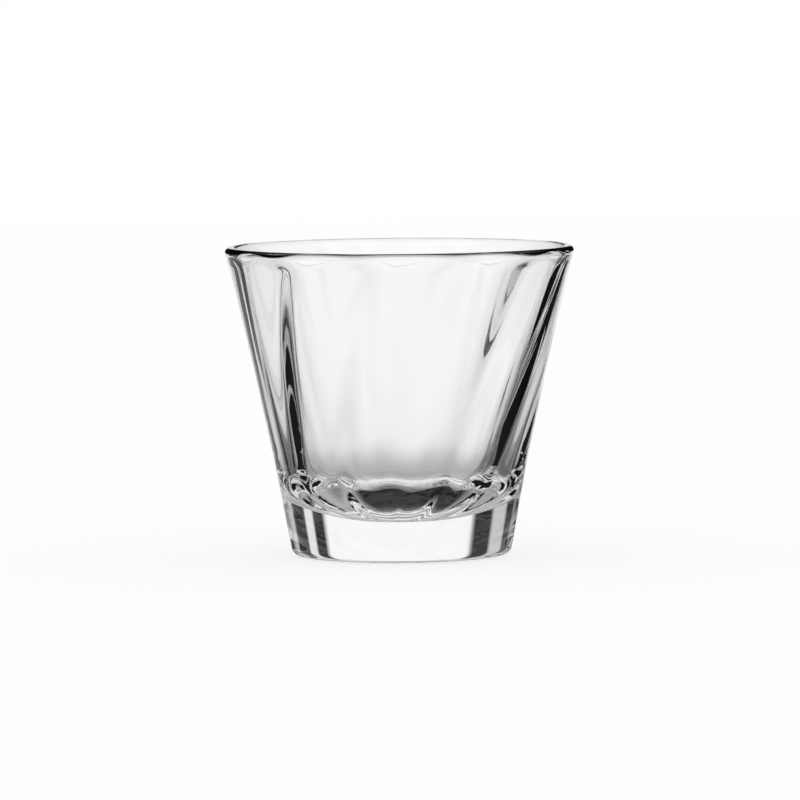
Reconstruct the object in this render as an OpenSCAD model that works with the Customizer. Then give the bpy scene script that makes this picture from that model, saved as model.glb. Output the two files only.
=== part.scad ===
// Espresso glass: a conical tumbler of clear pressed glass, with a heavy base and a well of twisted flutes.
// Millimetres, +Z up, origin at the middle of the foot on the table.

/* [Outside] */
// Height from the table to the top of the lip
glass_h = 62; // [54:0.5:76]
// Diameter over the lip
rim_d = 70; // [64:0.2:84]
// Diameter over the heel
foot_d = 44.4; // [41:0.2:50]
// Radius of the slight outward flare of the wall, seen from the side
flare_r = 850; // [300:10:2000]
// Radius of the rounded heel between the foot and the wall
heel_r = 2; // [0.5:0.1:3.5]

/* [Foot] */
// Diameter of the shallow hollow under the foot
punt_d = 33; // [20:0.5:35]
// Depth of the shallow hollow under the foot
punt_h = 0.8; // [0.2:0.1:2]

/* [Lip] */
// Thickness of the rounded bead along the lip
lip_w = 2.2; // [2:0.1:4]
// How far the bead stands out beyond the outside of the wall
lip_out = 0.1; // [0.05:0.05:0.7]
// Height of the plain band between the bead and the flutes
band_h = 0.3; // [0.1:0.1:6]

/* [Well] */
// Thickness of the glass between the table and the lowest point of the well
base_t = 8.5; // [5:0.25:14]
// Height of the rounded bowl at the end of the well
bowl_h = 13; // [5:0.25:16]
// Diameter of the bowl at its widest, halfway between ridge and hollow
bowl_d = 39.8; // [28:0.2:42]
// Diameter of the flat spot in the middle of the bowl
flat_d = 1.6; // [1:0.1:10]

/* [Flutes] */
// Number of flutes round the well
flute_count = 11; // [6:1:18]
// Turn of the flutes from the lip down to the foot, in degrees
flute_twist = 32; // [0:1:60]
// Where the first flute stands at the lip, in parts of one flute
flute_start = 0.68; // [0:0.01:1]
// Depth of the flutes at the top of the well, from ridge to hollow
flute_top = 1.1; // [0.2:0.05:2.2]
// Depth of the flutes where they reach the bowl, from ridge to hollow
flute_low = 0.35; // [0.1:0.05:2]
// Depth of the flutes low in the bowl, before they fade out
flute_end = 1.2; // [0:0.05:1.6]
// How much narrower the ridges are than the hollows: 0 is an even wave
flute_ridge = 0.16; // [0:0.01:0.25]
// How far the ridges lean to one side: 0 is even on both sides
flute_lean = -0.07; // [-0.2:0.01:0.2]
// Height over which the flutes run out below the plain band
runout_h = 2.3; // [0.5:0.1:6]

/* [Hidden] */

// Smoothness: points on the profile arcs, on each flute, down the wall, down the run-out and round the bowl
heel_n = 8;
flare_n = 14;
lip_n = 16;
punt_n = 10;
flute_n = 8;
wall_n = 18;
runout_n = 2;
bowl_n = 10;
// Sides of the turned body
turn_n = 180;
// How far the well stands inside the plain band, and how far it reaches up into the open mouth
ledge = 0.06;
reach = 0.6;
// How quickly the flutes fade round the bowl: below 1 they stay deep for longer
fade = 0.5;

lip_r = lip_w / 2;
rim_r = rim_d / 2;
flat_r = flat_d / 2;
turns = flute_count * flute_n;

// The wall's flare is one large arc: it touches the heel from outside and runs a little way into the bead
heel_c = [foot_d / 2 - heel_r, heel_r];
lip_c = [rim_r - lip_r, glass_h - lip_r];
span = norm(lip_c - heel_c);
along = (lip_c - heel_c) / span;
outward = [along[1], -along[0]];
to_heel = flare_r + heel_r;
to_lip = flare_r + lip_r - lip_out;
run = (to_heel * to_heel - to_lip * to_lip + span * span) / (2 * span);
flare_c = heel_c + run * along + sqrt(to_heel * to_heel - run * run) * outward;
heel_a = angle(flare_c - heel_c);
lip_a = angle(flare_c - lip_c);
bead_a = lip_a - acos((to_lip * to_lip + lip_r * lip_r - flare_r * flare_r) / (2 * to_lip * lip_r));
flare_top = angle(lip_c + lip_r * direction(bead_a) - flare_c);

// The hollow under the foot is part of a large ball
punt_r = punt_d / 2;
punt_ball = (punt_r * punt_r + punt_h * punt_h) / (2 * punt_h);
punt_c = [0, punt_h - punt_ball];
punt_a = angle([punt_r, 0] - punt_c);

// The plain band runs parallel to the outside of the wall, a lip's thickness inside it
band_top = lip_c - lip_r * direction(lip_a);
band_slope = -sin(lip_a) / cos(lip_a);
band_z = band_top[1] - band_h;
band_r = band_top[0] - band_h * band_slope;

function angle(v) = atan2(v[1], v[0]);
function direction(a) = [cos(a), sin(a)];
function turned(a) = a < 0 ? a + 360 : a;
function clamp01(t) = min(1, max(0, t));
function ease(t) = clamp01(t) * clamp01(t) * (3 - 2 * clamp01(t));
function mix(a, b, t) = a + (b - a) * t;
function arc(c, r, a0, a1, n) = [for (i = [0:n]) c + r * direction(mix(a0, a1, i / n))];

// Half profile of the body with its open mouth, from the middle of the foot round to the band's lower edge
function body_profile() = concat(
    arc(punt_c, punt_ball, 90, punt_a, punt_n),
    arc(heel_c, heel_r, -90, heel_a, heel_n),
    arc(flare_c, flare_r, heel_a + 180, turned(flare_top), flare_n),
    arc(lip_c, lip_r, bead_a, lip_a + 180, lip_n),
    [[band_r, band_z], [0, band_z]]
);

// The well's wall is a straight taper from the band that runs tangent into the bowl, an upright half ellipse
well_top_r = band_r - ledge;
bowl_c = [flat_r, base_t + bowl_h];
bowl_w = bowl_d / 2 - flat_r;
squash = bowl_w / bowl_h;
to_top = [well_top_r - bowl_c[0], (band_z - bowl_c[1]) * squash];
meet_a = angle(to_top) - acos(bowl_w / norm(to_top));
meet = bowl_point(meet_a);
function bowl_point(a) = bowl_c + [bowl_w * cos(a), bowl_h * sin(a)];

// Mean radius of the wall and depth of its flutes at a height, and the direction of the first hollow
function up_wall(z) = (z - meet[1]) / (band_z - meet[1]);
function wall_r(z) = mix(meet[0], well_top_r, up_wall(z));
function runout(z) = clamp01((band_z - z) / runout_h);
function flute_depth(z) = mix(flute_low, flute_top, up_wall(z)) * runout(z);
function bowl_depth(t) = mix(flute_low, flute_end, ease(2 * t)) * pow(max(0, cos(90 * t)), fade);
function flute_angle(z) = -360 * flute_start / flute_count - flute_twist * (1 - z / glass_h);

// Stations down the well: [height, mean radius, depth of the flutes]
wall_top = [for (i = [0:runout_n]) mix(band_z, band_z - runout_h, i / runout_n)];
wall_low = [for (i = [1:wall_n]) mix(band_z - runout_h, meet[1], i / wall_n)];
stations = concat(
    [[band_z + reach, well_top_r, 0]],
    [for (z = concat(wall_top, wall_low)) [z, wall_r(z), flute_depth(z)]],
    [for (i = [1:bowl_n])
        let (p = bowl_point(mix(meet_a, -90, i / bowl_n)))
        [p[1], p[0], bowl_depth(i / bowl_n)]]
);

// One ring of points round the well: out in the hollows, in on the ridges
function wave(a) = cos(a) - flute_ridge * cos(2 * a) + flute_lean * sin(2 * a);
function flute_ring(s) = [for (k = [0:turns - 1])
    let (r = s[1] + s[2] / 2 * wave(360 * k / flute_n), a = flute_angle(s[0]) + 360 * k / turns)
    [r * cos(a), r * sin(a), s[0]]];

// Turned body with its plain mouth, solid below the band
module body() {
    rotate_extrude($fn = turn_n) polygon(body_profile());
}

// Space inside the well: twisted flutes that run down into a rounded bowl
module well() {
    rings = len(stations);
    points = [for (s = stations) each flute_ring(s)];
    sides = [for (i = [0:rings - 2]) for (k = [0:turns - 1])
        let (a = i * turns + k, b = i * turns + (k + 1) % turns)
        each [[a, b, b + turns], [a, b + turns, a + turns]]];
    lid = [for (k = [0:turns - 1]) turns - 1 - k];
    end = [for (k = [0:turns - 1]) (rings - 1) * turns + k];
    polyhedron(points, concat(sides, [lid, end]), convexity = 6);
}

// The whole tumbler, pressed in one piece
module glass() {
    color([0.93, 0.96, 0.96, 0.4])
    difference() {
        body();
        well();
    }
}

glass();
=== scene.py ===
"""Espresso glass: a conical tumbler of clear pressed glass.

It has a heavy base, a rounded lip and twisted flutes in its well.
"""
import math

import bmesh
import bpy
from mathutils import Matrix


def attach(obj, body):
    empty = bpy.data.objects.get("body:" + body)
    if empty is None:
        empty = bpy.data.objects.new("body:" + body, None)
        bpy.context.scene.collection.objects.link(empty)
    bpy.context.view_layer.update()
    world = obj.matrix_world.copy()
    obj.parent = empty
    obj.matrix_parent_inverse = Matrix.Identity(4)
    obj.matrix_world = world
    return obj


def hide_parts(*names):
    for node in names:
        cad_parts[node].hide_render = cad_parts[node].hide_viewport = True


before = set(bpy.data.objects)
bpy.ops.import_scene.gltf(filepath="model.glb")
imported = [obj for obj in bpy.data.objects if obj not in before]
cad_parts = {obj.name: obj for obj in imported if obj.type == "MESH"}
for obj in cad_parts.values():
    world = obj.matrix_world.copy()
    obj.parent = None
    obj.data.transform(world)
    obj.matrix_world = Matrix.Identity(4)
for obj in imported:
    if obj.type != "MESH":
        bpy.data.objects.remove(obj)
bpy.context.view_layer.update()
scene = bpy.context.scene

# Sizes of the glass in millimetres, the same as in the part's source
MM = 0.001
GLASS_H = 62.0
RIM_D = 70.0
FOOT_D = 44.4
FLARE_R = 850.0
HEEL_R = 2.0
PUNT_D = 33.0
PUNT_H = 0.8
LIP_W = 2.2
LIP_OUT = 0.1
BAND_H = 0.3
BASE_T = 8.5
BOWL_H = 13.0
BOWL_D = 39.8
FLAT_D = 1.6
FLUTES = 11
FLUTE_TWIST = 32.0
FLUTE_START = 0.68
FLUTE_TOP = 1.1
FLUTE_LOW = 0.35
FLUTE_END = 1.2
RIDGE = 0.16
LEAN = -0.07
RUNOUT_H = 2.3
FLUTE_FADE = 0.5

# Points on the profiles: along the bead, the wall, the heel, the run-out of the flutes, the well and the bowl,
# and places across the hollow under the foot and on the ring that the glass stands on
BEAD_STEPS = 12
WALL_STEPS = 9
HEEL_STEPS = 6
RUNOUT_STEPS = 4
WELL_STEPS = 15
BOWL_STEPS = 10
PUNT_PLACES = (0.12, 0.5, 0.85, 0.97)
RING_EDGE = 0.4
RING_SHARE = 0.6

# The cage that is smoothed into the glass: six points to a flute, the direction of a new circle's first
# point, and the share of each wave that smoothing leaves
PER_FLUTE = 6
COLUMNS = FLUTES * PER_FLUTE
SMOOTHING = 2
FIRST_POINT = 90.0
ROUND_LOSS = 2 / 3 + math.cos(2 * math.pi / COLUMNS) / 3
FLUTE_LOSS = 2 / 3 + math.cos(2 * math.pi / PER_FLUTE) / 3
RIDGE_LOSS = 2 / 3 + math.cos(4 * math.pi / PER_FLUTE) / 3

# The camera: its distance and aim in metres, its rise and roll in degrees, and how wide the lip is in the frame
CAMERA_FAR = 1.55
CAMERA_UP = 3.9
CAMERA_AIM = 0.031
CAMERA_ROLL = -0.45
RIM_PX = 349
FRAME_PX = 800
CAMERA_SHIFT = -0.5 / FRAME_PX
SENSOR = 36.0

# The studio as the glass shows it, by direction in degrees from straight behind the glass, clockwise seen from
# above: walls through the glass, high and low, what the glass mirrors of them, a pale box in front by its rise
# in degrees, the ceiling, and what lies below the table's edge
DEGREES = 180 / math.pi
WHITE = 1.0
DARK = 0.02
WALLS_HIGH = [(-180, 0.85), (-90, 0.75), (-82, 0.4), (-70, 0.4), (-66, DARK), (-56, DARK), (-54, 0.6),
              (-42, 0.6), (-39.5, DARK), (-29, DARK), (-26.5, 1.0), (30, 1.0), (32, DARK), (38, DARK),
              (39.5, 0.85), (45, 0.85), (46.5, DARK), (60, DARK), (63, 0.75), (70, 0.75), (74, 0.4),
              (90, 0.75), (180, 0.85)]
WALLS_LOW = [(-180, 0.9), (-115, 0.85), (-70, 0.85), (-64, DARK), (-28, DARK), (-25, 1.0), (24, 1.0),
             (27, DARK), (64, DARK), (70, 0.35), (115, 0.4), (125, 0.9), (180, 0.9)]
LOW_TO_HIGH = [(4, 0.0), (8, 1.0)]
WALLS_MIRRORED = [(-180, 0.05), (-112, 0.05), (-108, 0.01), (-7, 0.01), (-5, 1.0), (5, 1.0), (7, 0.01),
                  (108, 0.01), (112, 0.05), (180, 0.05)]
FRONT_BOX = [(-180, 0.9), (-115, 0.9), (-105, 0.0), (105, 0.0), (115, 0.9), (180, 0.9)]
FRONT_RISE = [(10, 0.0), (16, 1.0), (50, 1.0), (60, 0.0)]
CEILING = [(30, 0.0), (48, 1.0)]
CEILING_SHADE = [(-180, 0.85), (-50, 0.85), (-30, 0.3), (30, 0.3), (50, 0.85), (180, 0.85)]
BELOW = [(-20, 1.0), (-8, 0.0)]
BELOW_SHADE = 0.8
BELOW_MIRRORED = 0.3

# The table as the glass shows it, glowing with painted light and shade: its painted shadow by distance from
# the middle in metres, painted dark cards under the foot, near and far by direction as above, where one zone
# gives way to the next, the painted reflection that the glass mirrors of it, and the share of real shadow that
# the camera sees
TABLE_R = 1.5
TABLE_SIDES = 96
TABLE_GAP = 0.0002
# Painted shadow round the foot: grey just outside it, paler with distance; under the foot the painted shade
# comes from the middle shade and the cards under the foot
TABLE_SHADE = [(0.0, 1.0), (0.021, 1.0), (0.023, 0.5), (0.028, 0.4), (0.034, 0.4), (0.042, 0.46),
               (0.058, 0.58), (0.08, 0.76), (0.12, 0.93), (0.2, 0.98)]
FOOT_MIDDLE = [(0.0, 0.0), (0.003, 0.0), (0.01, 1.0)]
MIDDLE_SHADE = 0.06
FOOT_TO_NEAR = [(0.0, 0.0), (0.021, 0.0), (0.023, 1.0)]
NEAR_TO_FAR = [(0.085, 0.0), (0.115, 1.0)]
# Painted shade by direction: dark zones on the table standing in for the shade of dark cards, under the foot,
# near and far
PAINTED_SHADE_FOOT = [(-180, 0.01), (-138, 0.01), (-108, 0.45), (-70, 0.45), (70, 0.45), (92, 0.4), (124, 0.01),
              (180, 0.01)]
PAINTED_SHADE_NEAR = [(-180, 0.9), (-115, 0.9), (-105, 0.7), (-72, 0.7), (-70, 0.3), (-63, 0.3), (-62, DARK),
              (-55, DARK), (-54, 0.4), (-46, 0.4), (-42, 0.9), (-30, 1.0), (30, 1.0), (37, 0.9), (40, 0.3),
              (45, 0.3), (46, DARK), (53, DARK), (54, 0.4), (64, 0.4), (68, 0.28), (104, 0.28), (112, 0.9),
              (180, 0.9)]
PAINTED_SHADE_FAR = [(-180, 0.9), (-67, 0.9), (-65, DARK), (-58, DARK), (-55, 0.85), (-43, 0.85), (-40, DARK),
             (-30, DARK), (-28.5, 0.85), (-15, 0.93), (-3, 1.0), (5, 1.0), (15, 0.95), (30, 0.86),
             (31.5, DARK), (40, DARK), (43, 0.85), (55, 0.85), (58, DARK), (65, DARK), (68, 0.5), (80, 0.8),
             (90, 0.85), (110, 0.9), (180, 0.9)]
# Painted reflection of the table in the glass, lighter or darker by direction
TABLE_MIRRORED = [(-180, 0.2), (-100, 0.2), (-70, 0.08), (-52, 0.45), (-30, 0.45), (-22, 0.9), (22, 0.9),
                  (30, 0.05), (70, 0.05), (100, 0.2), (180, 0.2)]
SHADOW_SHARE = 0.25

# How often light may be mirrored inside the thick glass before it is lost
LIGHT_TURNS = 6

# The glass itself: how it bends light, its two faint tints, the ripples of the pressed surface with waves and
# upright streaks and their height in metres, and the faint haze of handling
BENDING = 1.52
TINT_DEEP = (0.985, 0.99, 0.992, 1)
TINT_PALE = (0.997, 0.999, 1.0, 1)
WAVE_SCALE = 130.0
WAVE_SHARE = 0.7
STREAK_SCALE = 260.0
STREAK_STRETCH = (1.0, 1.0, 0.25)
STREAK_SHARE = 0.3
RIPPLE_H = 0.00003
HAZE_SCALE = 420.0
HAZE = 0.012


# Half profiles of the glass

def mix(a, b, t):
    return a + (b - a) * t


def ease(t):
    t = min(1.0, max(0.0, t))
    return t * t * (3 - 2 * t)


def arc(centre, radius, start, end, steps, skip=0):
    """Points on an arc between two angles in degrees."""
    turns = [math.radians(mix(start, end, i / steps)) for i in range(skip, steps + 1)]
    return [(centre[0] + radius * math.cos(a), centre[1] + radius * math.sin(a)) for a in turns]


def outside_profile():
    """Radius and height from the middle of the foot round the heel, up the wall and over the lip's bead."""
    lip_r = LIP_W / 2
    heel = (FOOT_D / 2 - HEEL_R, HEEL_R)
    lip = (RIM_D / 2 - lip_r, GLASS_H - lip_r)
    span = math.dist(heel, lip)
    along = ((lip[0] - heel[0]) / span, (lip[1] - heel[1]) / span)
    to_heel = FLARE_R + HEEL_R
    to_lip = FLARE_R + lip_r - LIP_OUT
    run = (to_heel ** 2 - to_lip ** 2 + span ** 2) / (2 * span)
    off = math.sqrt(to_heel ** 2 - run ** 2)
    flare = (heel[0] + run * along[0] + off * along[1], heel[1] + run * along[1] - off * along[0])
    heel_a = math.degrees(math.atan2(flare[1] - heel[1], flare[0] - heel[0]))
    lip_a = math.degrees(math.atan2(flare[1] - lip[1], flare[0] - lip[0]))
    bead_a = lip_a - math.degrees(math.acos((to_lip ** 2 + lip_r ** 2 - FLARE_R ** 2) / (2 * to_lip * lip_r)))
    bead = arc(lip, lip_r, bead_a, lip_a + 180, BEAD_STEPS)
    flare_end = math.degrees(math.atan2(bead[0][1] - flare[1], bead[0][0] - flare[0])) % 360
    punt_r = PUNT_D / 2
    punt = [(punt_r * t, PUNT_H * (1 - t * t)) for t in PUNT_PLACES]
    foot = [(punt_r + RING_EDGE, 0.0), (mix(punt_r, heel[0], RING_SHARE), 0.0)]
    heel_arc = arc(heel, HEEL_R, -90, heel_a, HEEL_STEPS)
    wall = arc(flare, FLARE_R, heel_a + 180, flare_end, WALL_STEPS, 1)
    slope = -math.tan(math.radians(lip_a))
    band_z = bead[-1][1] - BAND_H
    band_r = bead[-1][0] - BAND_H * slope
    return punt + foot + heel_arc + wall + bead[1:], band_r, band_z


def well_profile(band_r, band_z):
    """Radius, height and depth of flutes from the mouth's band down the well to the middle of the bowl."""
    flat_r = FLAT_D / 2
    centre = (flat_r, BASE_T + BOWL_H)
    width = BOWL_D / 2 - flat_r
    top = (band_r - centre[0], (band_z - centre[1]) * width / BOWL_H)
    meet_a = math.atan2(top[1], top[0]) - math.acos(width / math.hypot(*top))
    meet = (centre[0] + width * math.cos(meet_a), centre[1] + BOWL_H * math.sin(meet_a))
    stations = []
    heights = [band_z - RUNOUT_H * i / RUNOUT_STEPS for i in range(RUNOUT_STEPS + 1)]
    heights += [mix(heights[-1], meet[1], i / WELL_STEPS) for i in range(1, WELL_STEPS + 1)]
    for z in heights:
        t = (z - meet[1]) / (band_z - meet[1])
        depth = mix(FLUTE_LOW, FLUTE_TOP, t) * min(1.0, (band_z - z) / RUNOUT_H)
        stations.append((mix(meet[0], band_r, t), z, depth))
    for i in range(1, BOWL_STEPS + 1):
        a = mix(meet_a, -math.pi / 2, i / BOWL_STEPS)
        left = max(0.0, math.cos(math.pi / 2 * i / BOWL_STEPS)) ** FLUTE_FADE
        depth = mix(FLUTE_LOW, FLUTE_END, ease(2 * i / BOWL_STEPS)) * left
        stations.append((centre[0] + width * math.cos(a), centre[1] + BOWL_H * math.sin(a), depth))
    return stations


def flute_angle(z):
    """Direction of the first hollow at a height, in degrees."""
    return -360 * FLUTE_START / FLUTES - FLUTE_TWIST * (1 - z / GLASS_H)


# The glass

def pick(piece, numbers):
    """Selects those points of the cage's newest ring that have one of these numbers in their flute."""
    cage = bmesh.from_edit_mesh(piece.data)
    cage.verts.ensure_lookup_table()
    for place, point in enumerate(cage.verts[-COLUMNS:]):
        point.select = place % PER_FLUTE in numbers
    cage.select_flush_mode()
    bmesh.update_edit_mesh(piece.data)


def widen(share):
    """Widens the picked points about the middle."""
    bpy.ops.transform.resize(value=(share, share, 1), center_override=(0, 0, 0))


def wave_radius(radius, depth, place):
    """Radius of a point of the cage: out in the flute's hollow, in on its narrower ridge."""
    turn = 2 * math.pi * place / PER_FLUTE
    shape = LEAN * math.sin(2 * turn) - RIDGE * math.cos(2 * turn)
    wave = math.cos(turn) / FLUTE_LOSS + shape / RIDGE_LOSS
    return radius + depth / 2 * ROUND_LOSS * wave


def press_glass():
    """Draws one cage ring by ring, from the foot over the lip and down the well, and smooths it."""
    outside, band_r, band_z = outside_profile()
    rings = [(r, z, 0.0, flute_angle(band_z)) for r, z in outside]
    rings += [(r, z, depth, flute_angle(z)) for r, z, depth in well_profile(band_r, band_z)]
    radius, height, depth, turn = rings[0]
    bpy.ops.object.select_all(action="DESELECT")
    bpy.ops.mesh.primitive_circle_add(vertices=COLUMNS, radius=radius * MM / ROUND_LOSS,
                                      location=(0, 0, height * MM),
                                      rotation=(0, 0, math.radians(turn - FIRST_POINT)))
    piece = bpy.context.object
    piece.name = "tumbler"
    piece.data.name = "tumbler"
    bpy.ops.object.transform_apply(location=True, rotation=True, scale=True)
    bpy.ops.object.mode_set(mode="EDIT")
    bpy.ops.mesh.select_mode(type="VERT")
    bpy.ops.mesh.select_all(action="SELECT")
    for next_radius, next_height, next_depth, next_turn in rings[1:]:
        bpy.ops.mesh.extrude_edges_move()
        bpy.ops.transform.translate(value=(0, 0, (next_height - height) * MM))
        if next_turn != turn:
            bpy.ops.transform.rotate(value=math.radians(turn - next_turn), orient_axis="Z",
                                     center_override=(0, 0, 0))
        if depth or next_depth:
            for place in range(PER_FLUTE):
                pick(piece, {place})
                widen(wave_radius(next_radius, next_depth, place) / wave_radius(radius, depth, place))
            pick(piece, range(PER_FLUTE))
        else:
            widen(next_radius / radius)
        radius, height, depth, turn = next_radius, next_height, next_depth, next_turn
    bpy.ops.mesh.edge_face_add()
    cage = bmesh.from_edit_mesh(piece.data)
    cage.verts.ensure_lookup_table()
    bpy.ops.mesh.select_all(action="DESELECT")
    for point in cage.verts[:COLUMNS]:
        point.select = True
    cage.select_flush_mode()
    bpy.ops.mesh.edge_face_add()
    bpy.ops.mesh.select_all(action="SELECT")
    bpy.ops.mesh.normals_make_consistent(inside=False)
    bpy.ops.object.mode_set(mode="OBJECT")
    smooth = piece.modifiers.new("smooth", "SUBSURF")
    smooth.levels = SMOOTHING
    smooth.render_levels = SMOOTHING
    bpy.ops.object.modifier_apply(modifier=smooth.name)
    bpy.ops.object.shade_smooth()
    return piece


# Shader expressions

class Value:
    """A shader socket that can stand in a Python expression: the sums add their own Math nodes."""

    def __init__(self, tree, socket=None):
        self.tree = tree
        self.socket = socket

    def node(self, kind, settings=None, out=0, **inputs):
        """Adds any node: first its settings, then its sockets, which take numbers, colours or other values."""
        made = self.tree.nodes.new("ShaderNode" + kind)
        for key, setting in (settings or {}).items():
            if key == "stops":
                for stop, (place, shade) in enumerate(setting):
                    elements = made.color_ramp.elements
                    element = elements[stop] if stop < len(elements) else elements.new(place)
                    element.position = place
                    element.color = (shade, shade, shade, 1)
            else:
                setattr(made, key, setting)
        for key, given in inputs.items():
            place = int(key[1:]) if key[0] == "i" and key[1:].isdigit() else key.replace("_", " ")
            if isinstance(given, Value):
                self.tree.links.new(given.socket, made.inputs[place])
            else:
                made.inputs[place].default_value = given
        return Value(self.tree, made.outputs[out])

    def sum(self, operation, first, second=0.0):
        return self.node("Math", {"operation": operation}, i0=first, i1=second)

    def __add__(self, other):
        return self.sum("ADD", self, other)

    def __radd__(self, other):
        return self.sum("ADD", other, self)

    def __sub__(self, other):
        return self.sum("SUBTRACT", self, other)

    def __rsub__(self, other):
        return self.sum("SUBTRACT", other, self)

    def __mul__(self, other):
        return self.sum("MULTIPLY", self, other)

    def __rmul__(self, other):
        return self.sum("MULTIPLY", other, self)

    def __truediv__(self, other):
        return self.sum("DIVIDE", self, other)

    def ramp(self, stops):
        """The value run through a ramp of (place, shade) stops between the first place and the last."""
        first, last = stops[0][0], stops[-1][0]
        placed = [((place - first) / (last - first), shade) for place, shade in stops]
        return self.node("ValToRGB", {"stops": placed}, i0=(self - first) / (last - first))


def mixed(share, first, second):
    """The first value where the share is 0, and the second where it is 1."""
    return first + (second - first) * share


def bearing(at, place):
    """Direction of a place seen from above, in degrees from straight behind the glass."""
    x = at.node("SeparateXYZ", out="X", Vector=place)
    y = at.node("SeparateXYZ", out="Y", Vector=place)
    return at.sum("ARCTAN2", x, y) * DEGREES


# Materials

def clear_glass():
    """Clear pressed glass: faint ripples and waves from the mould, and hardly any tint."""
    finish = bpy.data.materials.new("clear_pressed_glass")
    finish.use_nodes = True
    tree = finish.node_tree
    shader = tree.nodes["Principled BSDF"]
    shader.inputs["IOR"].default_value = BENDING
    shader.inputs["Transmission Weight"].default_value = 1.0
    at = Value(tree)
    place = at.node("TexCoord", out="Object")
    waves = at.node("TexNoise", out="Fac", Vector=place, Scale=WAVE_SCALE, Detail=1.5, Roughness=0.45)
    drawn = at.node("Mapping", Vector=place, Scale=STREAK_STRETCH)
    streaks = at.node("TexNoise", out="Fac", Vector=drawn, Scale=STREAK_SCALE, Detail=1.0, Roughness=0.4)
    ripple = at.node("Bump", out="Normal", Strength=1.0, Distance=RIPPLE_H,
                     Height=WAVE_SHARE * waves + STREAK_SHARE * streaks)
    tint = at.node("Mix", {"data_type": "RGBA"}, out=2, i0=waves, i6=TINT_DEEP, i7=TINT_PALE)
    handled = at.node("TexNoise", out="Fac", Vector=place, Scale=HAZE_SCALE, Detail=3.0, Roughness=0.6)
    tree.links.new(tint.socket, shader.inputs["Base Color"])
    tree.links.new((HAZE * handled).socket, shader.inputs["Roughness"])
    tree.links.new(ripple.socket, shader.inputs["Normal"])
    return finish


def table_top():
    """Pale table: white to the camera with a soft shadow; where the glass shows it, it glows in painted shade.
    """
    finish = bpy.data.materials.new("pale_table")
    finish.use_nodes = True
    tree = finish.node_tree
    tree.nodes.remove(tree.nodes["Principled BSDF"])
    at = Value(tree)
    place = at.node("TexCoord", out="Object")
    far = at.node("VectorMath", {"operation": "LENGTH"}, out="Value", i0=place)
    round_to = bearing(at, place)
    # Painted shade for rays through the glass: dark under the foot and in zones by direction, as from dark
    # cards
    foot = mixed(far.ramp(FOOT_MIDDLE), MIDDLE_SHADE, round_to.ramp(PAINTED_SHADE_FOOT))
    near = mixed(far.ramp(FOOT_TO_NEAR), foot, round_to.ramp(PAINTED_SHADE_NEAR))
    painted_card_shade = mixed(far.ramp(NEAR_TO_FAR), near, round_to.ramp(PAINTED_SHADE_FAR))
    seen = at.node("LightPath", out="Is Camera Ray")
    through = at.node("LightPath", out="Is Transmission Ray")
    # In the glass: a painted reflection by direction, or the painted shadow times the painted card shade
    in_glass = mixed(through, round_to.ramp(TABLE_MIRRORED), far.ramp(TABLE_SHADE) * painted_card_shade)
    # The table glows with this painted light and shade for every ray but the camera's
    painted_glow = at.node("Emission", Color=mixed(seen, in_glass, WHITE))
    matt = at.node("BsdfDiffuse", Color=(WHITE, WHITE, WHITE, 1))
    both = at.node("MixShader", Fac=seen * SHADOW_SHARE, i1=painted_glow, i2=matt)
    tree.links.new(both.socket, tree.nodes["Material Output"].inputs["Surface"])
    return finish


# The studio

def lay_table():
    """A round pale table, a hair below the foot."""
    bpy.ops.object.select_all(action="DESELECT")
    bpy.ops.mesh.primitive_circle_add(vertices=TABLE_SIDES, radius=TABLE_R, fill_type="NGON",
                                      location=(0, 0, -TABLE_GAP))
    table = bpy.context.object
    table.name = "table"
    bpy.ops.object.transform_apply(location=True, rotation=False, scale=False)
    table.data.materials.append(table_top())


def light_studio():
    """Surroundings that are white to the camera; in the glass a white panel, dark cards and pale walls."""
    world = bpy.data.worlds.new("studio")
    scene.world = world
    world.use_nodes = True
    tree = world.node_tree
    at = Value(tree)
    ray = at.node("TexCoord", out="Generated")
    round_to = bearing(at, ray)
    up_to = at.sum("ARCSINE", at.node("SeparateXYZ", out="Z", Vector=ray)) * DEGREES
    seen = at.node("LightPath", out="Is Camera Ray")
    through = at.node("LightPath", out="Is Transmission Ray")
    plain = seen + at.node("LightPath", out="Is Diffuse Ray")
    walls = mixed(up_to.ramp(LOW_TO_HIGH), round_to.ramp(WALLS_LOW), round_to.ramp(WALLS_HIGH))
    front = up_to.ramp(FRONT_RISE) * round_to.ramp(FRONT_BOX)
    shown = mixed(through, round_to.ramp(WALLS_MIRRORED) + front, walls)
    under = mixed(through, BELOW_MIRRORED, BELOW_SHADE)
    inside = mixed(up_to.ramp(CEILING), shown, round_to.ramp(CEILING_SHADE))
    below = mixed(up_to.ramp(BELOW), inside, under)
    tree.links.new(mixed(plain, below, WHITE).socket, tree.nodes["Background"].inputs["Color"])


def set_camera():
    """Level with the photograph's view, with the lip as wide as it is there."""
    lens = bpy.data.cameras.new("camera")
    camera = bpy.data.objects.new("camera", lens)
    scene.collection.objects.link(camera)
    scene.camera = camera
    tilt = math.radians(CAMERA_UP)
    lens.sensor_width = SENSOR
    lens.lens = SENSOR * CAMERA_FAR / (RIM_D * MM / RIM_PX * FRAME_PX)
    lens.shift_x = CAMERA_SHIFT
    stand = Matrix.Translation((0, -CAMERA_FAR * math.cos(tilt), CAMERA_AIM + CAMERA_FAR * math.sin(tilt)))
    look = Matrix.Rotation(math.pi / 2 - tilt, 4, "X")
    roll = Matrix.Rotation(math.radians(CAMERA_ROLL), 4, "Z")
    camera.matrix_world = stand @ look @ roll


glass = press_glass()
glass.data.materials.append(clear_glass())
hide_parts("glass")
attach(glass, "root")
lay_table()
light_studio()
set_camera()
scene.view_settings.view_transform = "Standard"
scene.cycles.glossy_bounces = LIGHT_TURNS
